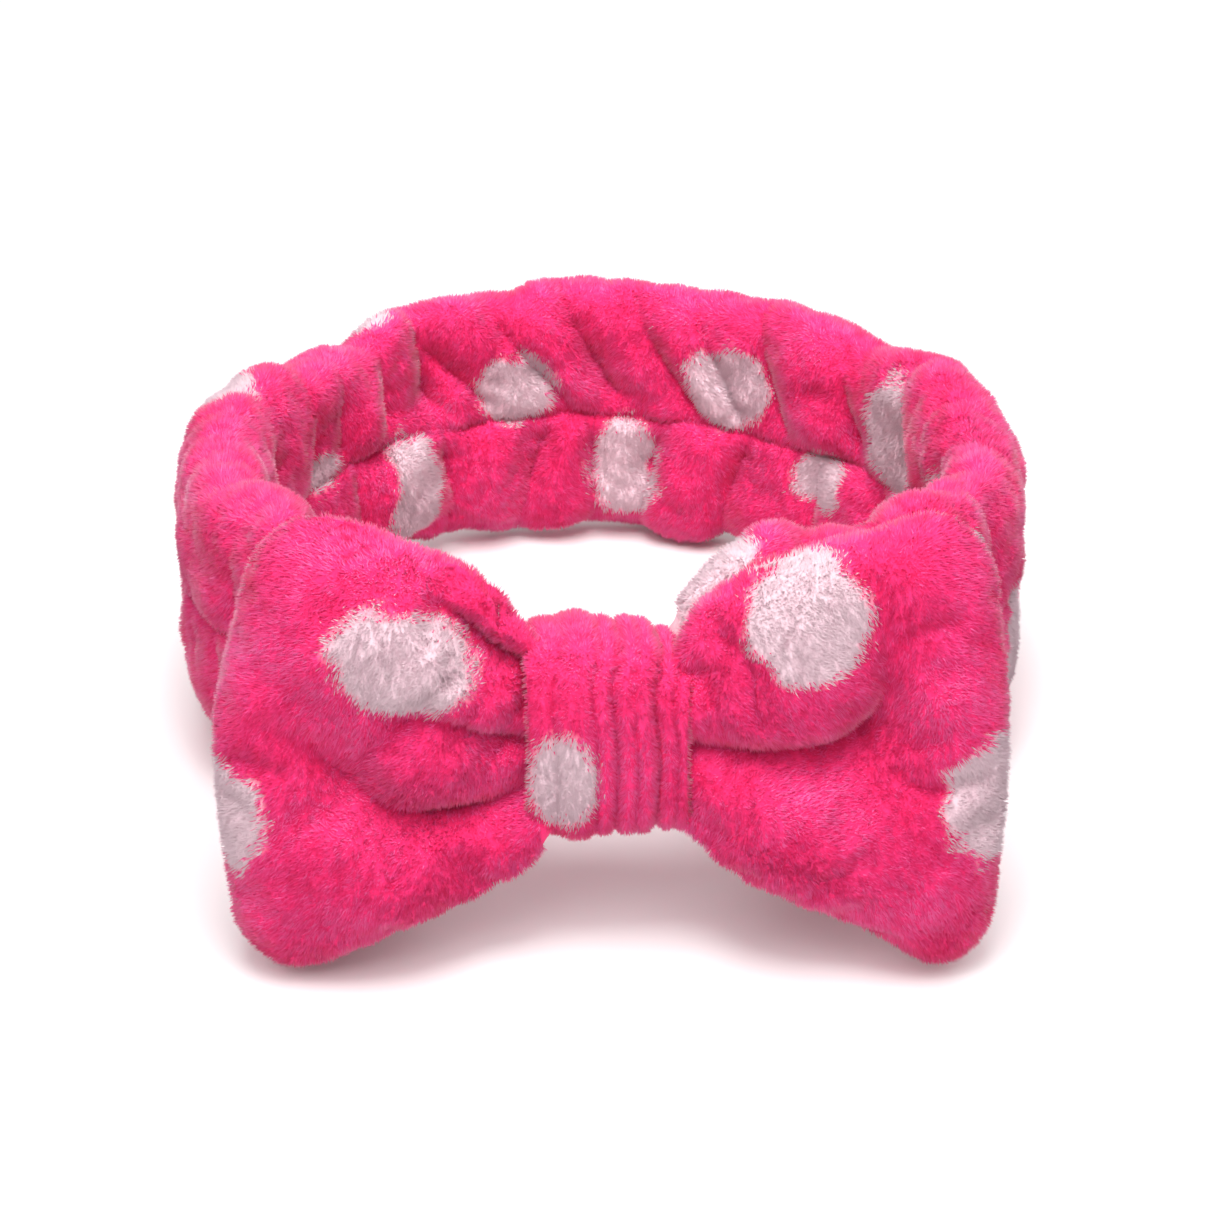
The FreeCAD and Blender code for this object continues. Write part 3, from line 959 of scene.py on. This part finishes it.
def waist_cloth(rows=30, columns=72):
    """The gathered middle of the bow, inside the knot."""
    x = np.linspace(-WAIST_HALF_LENGTH, WAIST_HALF_LENGTH, rows)[:, None]
    turn = np.linspace(0, 2 * np.pi, columns, endpoint=False)[None, :]
    ripple = 1 + 0.10 * np.sin(11 * turn) * (1 - (x / WAIST_HALF_LENGTH) ** 2)
    flare = 1 + 0.12 * (x / WAIST_HALF_LENGTH) ** 2
    y = 3.6 * np.cos(turn) * ripple * flare + WING_Y + 1.0
    z = 14.8 * np.sin(turn) * ripple * flare
    points = np.stack([x + BOW_SHIFT + 0 * turn, y, z], axis=-1).reshape(-1, 3)
    return Cloth(points, grid_faces(rows, columns, False, True), np.full(len(points), -1.0), None)


# ---------------------------------------------------------------- pile


def strands(cloth, density, length, width, seed, keep):
    """Tapered strands over a cloth where keep says so, leaning with the nap and into clumps: three feet
    and a tip each. Returns their points and normals, strand by strand, and the shade of each. The normals
    are mostly the cloth's own, as dense pile is lit like the cloth it stands on."""
    rng = np.random.default_rng(seed)
    f = cloth.faces
    triangles = np.vstack([f[:, [0, 1, 2]], f[:, [0, 2, 3]]])
    a, b, c = (cloth.points[triangles[:, i]] for i in range(3))
    area = np.linalg.norm(np.cross(b - a, c - a), axis=1) / 2
    count = int(area.sum() * density)
    chosen = np.searchsorted(np.cumsum(area) / area.sum(), rng.random(count)).clip(0, len(area) - 1)
    u, v = rng.random(count), rng.random(count)
    over = u + v > 1
    u, v = np.where(over, 1 - u, u), np.where(over, 1 - v, v)
    weights = np.stack([1 - u - v, u, v], axis=1)
    corner = triangles[chosen]
    root = (cloth.points[corner] * weights[..., None]).sum(1)
    normal = unit((cloth.normals[corner] * weights[..., None]).sum(1))
    dot = (cloth.dots[corner] * weights).sum(1)
    kept = keep(root, normal)
    root, normal, dot = root[kept], normal[kept], dot[kept]
    count = len(root)

    def flat(vectors):
        return vectors - normal * (vectors * normal).sum(1, keepdims=True)

    clump = flat(Ripple(seed + 1, 3.4, 40).slope(root))
    swirl = flat(Ripple(seed + 2, 17.0).slope(root))
    loose = flat(rng.normal(size=(count, 3)))
    lean = NAP_LEAN * flat(cloth.nap(root)) + CLUMP_LEAN * clump + SWIRL_LEAN * swirl + LOOSE_LEAN * loose
    way = unit(normal + lean)
    size = length * rng.uniform(0.7, 1.12, (count, 1))
    first = unit(flat(rng.normal(size=(count, 3))))
    second = np.cross(normal, first)
    half = width * rng.uniform(0.75, 1.25, (count, 1))
    points, normals = [], []
    for turn in (0, 2 * math.pi / 3, 4 * math.pi / 3):
        out = math.cos(turn) * first + math.sin(turn) * second
        points.append(root - normal * 0.25 + half * out)
        normals.append(unit(normal + 0.45 * out + 0.25 * flat(way)))
    points.append(root + way * size)
    normals.append(unit(normal + 0.35 * flat(way)))
    mix = 0.52 + 0.10 * Ripple(seed + 3, 22.0)(root) + 0.07 * Ripple(seed + 4, 4.0)(root)
    mix = mix + rng.normal(0, 0.15, count)
    pink = np.clip((mix * len(PINKS)).astype(int), 0, len(PINKS) - 1)
    white = len(PINKS) + np.clip((mix * len(WHITES)).astype(int), 0, len(WHITES) - 1)
    shade = np.where(dot + rng.normal(0, 0.20, count) > 0, white, pink)
    return np.stack(points, axis=1), np.stack(normals, axis=1), shade


def pile_object(name, points, normals, shade, shades):
    """The strands as one mesh, each with the material of its shade."""
    sides = np.array([[0, 1, 3], [1, 2, 3], [2, 0, 3], [0, 2, 1]])
    faces = (np.arange(len(points))[:, None, None] * 4 + sides).reshape(-1, 3)
    piece = mesh_object(name, points.reshape(-1, 3), faces)
    piece.data.normals_split_custom_set_from_vertices((normals.reshape(-1, 3) @ AXES).tolist())
    for material in shades:
        piece.data.materials.append(material)
    piece.data.polygons.foreach_set("material_index", np.repeat(shade, 4).astype(np.int32))
    return piece


def add_pile(name, cloth, shades, seed, keep, length=PILE_LENGTH):
    """The pile of one cloth, cut into pieces of even size by bearing round the ring."""
    density = PILE_DENSITY * 1.0
    width = PILE_WIDTH * 1.0
    points, normals, shade = strands(cloth, density, length, width, seed, keep)
    bearing = np.arctan2(points[:, 0, 0], points[:, 0, 1])
    order = np.argsort(bearing)
    pieces = []
    for g, mine in enumerate(np.array_split(order, math.ceil(len(order) / STRANDS_IN_PIECE))):
        pieces.append(pile_object(f"{name}_{g + 1}", points[mine], normals[mine], shade[mine], shades))
    return pieces


def cloth_object(name, cloth, material):
    """The cloth as a mesh that carries its dots for the material."""
    piece = mesh_object(name, cloth.points, cloth.faces)
    attribute = piece.data.attributes.new("dot", "FLOAT", "POINT")
    attribute.data.foreach_set("value", cloth.dots.astype(np.float32))
    piece.data.materials.append(material)
    return piece


# ---------------------------------------------------------------- stage


def floor():
    """A plain pale floor, well past the view."""
    material = principled("floor", (0.93, 0.93, 0.93), 0.9)[0]
    bpy.ops.mesh.primitive_plane_add(size=6, location=(0, 0, 0))
    piece = bpy.context.object
    piece.name = "floor"
    piece.data.materials.append(material)


def area_light(name, place_at, aim, size, power, spread=180):
    """A soft round lamp: its place, aim and size in metres, its power in watts, its spread in degrees."""
    light = bpy.data.lights.new(name, "AREA")
    light.spread = math.radians(spread)
    light.shape = "DISK"
    light.size = size
    light.energy = power
    lamp = bpy.data.objects.new(name, light)
    bpy.context.scene.collection.objects.link(lamp)
    lamp.visible_camera = False
    lamp.location = place_at
    lamp.rotation_euler = (Vector(aim) - Vector(place_at)).to_track_quat("-Z", "Y").to_euler()


def lights():
    """Soft lamps from in front, above and behind, one into the ring, and an even pale sky."""
    middle = (0, 0, 0.04)
    area_light("key", (-0.35, -0.70, 0.95), middle, 0.7, 3.2)
    area_light("fill", (0.40, -0.55, 1.05), middle, 0.8, 3.2)
    area_light("top", (-0.05, -0.34, 1.14), middle, 0.5, 7.5)
    area_light("back", (0.45, 0.80, 0.75), middle, 0.8, 2.6)
    area_light("inside", (0, -0.18, 0.36), (0, 0.08, 0.05), 0.12, 0.05, spread=50)
    world = bpy.data.worlds.new("studio")
    bpy.context.scene.world = world
    world.use_nodes = True
    background = world.node_tree.nodes["Background"]
    background.inputs["Color"].default_value = (1, 1, 1, 1)
    background.inputs["Strength"].default_value = 0.6


def camera():
    """Straight on to the bow, 24 degrees above the ring's own plane."""
    slope = math.radians(24)
    distance = 650.0
    lens_per_frame = 2.3666
    middle = np.array([0, -14.0, 0])
    forward = np.array([0, math.cos(slope), -math.sin(slope)])
    up = np.array([0, math.sin(slope), math.cos(slope)])
    stand = middle - forward * distance
    aim = middle + np.array([2.0, 0, 0]) - up * 7.5
    eye = bpy.data.objects.new("camera", bpy.data.cameras.new("camera"))
    bpy.context.scene.collection.objects.link(eye)
    eye.data.sensor_width = 36
    eye.data.lens = 36 * lens_per_frame
    eye.data.clip_start = 0.01
    start, target = Vector(place(stand)), Vector(place(aim))
    eye.location = start
    eye.rotation_euler = (target - start).to_track_quat("-Z", "Y").to_euler()
    bpy.context.scene.camera = eye


# ---------------------------------------------------------------- build


def bend_band(piece):
    """Bakes the band piece's transform into its mesh."""
    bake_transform(piece)


def bend_wing(piece):
    """Bakes the wing piece's transform into its mesh."""
    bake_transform(piece)


def stands_for(piece, material, slot, *nodes):
    """A plain piece's material, and the CAD nodes that it replaces, which it hides. The slot argument is not
    used.
    """
    piece.data.materials.append(material)
    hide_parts(*nodes)


def off_knot(root, normal):
    """The band's pile, except where the knot covers it."""
    inside = (np.abs(root[:, 0] - BOW_SHIFT) < 14.5) & (root[:, 1] < -70)
    return ~inside


def off_root(root, normal):
    """A wing's pile, except inside the knot."""
    return np.abs(root[:, 0] - BOW_SHIFT) > 13.5


def outer_face(root, normal):
    """The knot's pile, on the side that shows."""
    return ((root - KNOT_MIDDLE) * normal).sum(1) > 2.0


def build_band(ground, shades, thread, elastic):
    """The cover with its pile, the seam of its two ends at the front, the long seam and the elastic."""
    cloth = band_cloth()
    band = cloth_object("band", cloth, ground)
    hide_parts("band_cover_front", "band_cover_rear")

    front_loop = np.arange(BAND_COLUMNS + 1) % BAND_COLUMNS
    front_line = (cloth.points + 0.2 * cloth.normals)[front_loop]
    end_seam = tubes_object("band_end_seam_thread", [front_line], 0.35)
    stands_for(end_seam, thread, "thread", "band_end_seam")
    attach(end_seam, "front")

    long_seam = mesh_object("long_seam", *ring_strip(0.7, 0.35, -2.6))
    stands_for(long_seam, thread, "thread", "long_seam_front", "long_seam_rear")
    bend_band(long_seam)

    braid = mesh_object("elastic", *ring_strip(1.5, 5.0, 0.0))
    stands_for(braid, elastic, "elastic", "elastic_front", "elastic_rear")
    bend_band(braid)

    for piece in [band, *add_pile("band_pile", cloth, shades, 100, off_knot)]:
        bend_band(piece)


def build_wing(wing, ground, shades, thread, wadding):
    """One side of the bow: its cover with its pile, its wadding and the seam down its back."""
    cloth = wing.cloth()
    cover = cloth_object(f"bow_{wing.name}", cloth, ground)
    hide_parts(f"bow_wing_{wing.name}")
    for piece in [cover, *add_pile(f"bow_{wing.name}_pile", cloth, shades, 200 + wing.seed, off_root)]:
        bend_wing(piece)

    points, faces, _ = wing.bag(40, 60, WADDING_INSET)
    filling = mesh_object(f"wadding_{wing.name}", points, faces)
    stands_for(filling, wadding, "wadding", f"bow_wadding_{wing.name}")
    bend_wing(filling)

    seam = tubes_object(f"bow_seam_thread_{wing.name}", [wing.seam_line], 0.4)
    stands_for(seam, thread, "thread", f"bow_seam_{wing.name}")
    bend_wing(seam)


def build_knot(ground, shades, thread):
    """The wrap with its pile, the stitches that close it, and the bow's waist inside it."""
    cloth = knot_cloth()
    knot = cloth_object("knot", cloth, ground)
    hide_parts("knot_wrap")

    stitches = tubes_object("knot_stitches", knot_stitches(cloth), 0.35)
    stands_for(stitches, thread, "thread", "knot_closing_stitches")
    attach(stitches, "front")

    for piece in [knot, *add_pile("knot_pile", cloth, shades, 300, outer_face, KNOT_PILE_LENGTH)]:
        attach(piece, "front")

    waist = cloth_object("waist", waist_cloth(), ground)
    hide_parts("bow_waist")
    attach(waist, "front")


def build():
    """Every piece of the headband, and the thread or braid material of the CAD nodes that stay."""
    bpy.context.scene.view_settings.view_transform = "Standard"
    ground, shades = fleece_ground(), pile_materials()
    thread = thread_material("sewing_thread", (0.80, 0.03, 0.18))
    elastic = thread_material("elastic_braid", (0.82, 0.81, 0.79))
    wadding = wadding_material()
    build_band(ground, shades, thread, elastic)
    for wing in (LEFT_WING, RIGHT_WING):
        build_wing(wing, ground, shades, thread, wadding)
    build_knot(ground, shades, thread)
    for name, node in frame["nodes"].items():
        if not node.hide_render:
            is_braid = name.startswith("elastic_") and "stitch" not in name
            node.data.materials.clear()
            node.data.materials.append(elastic if is_braid else thread)


camera()
lights()
floor()
build()
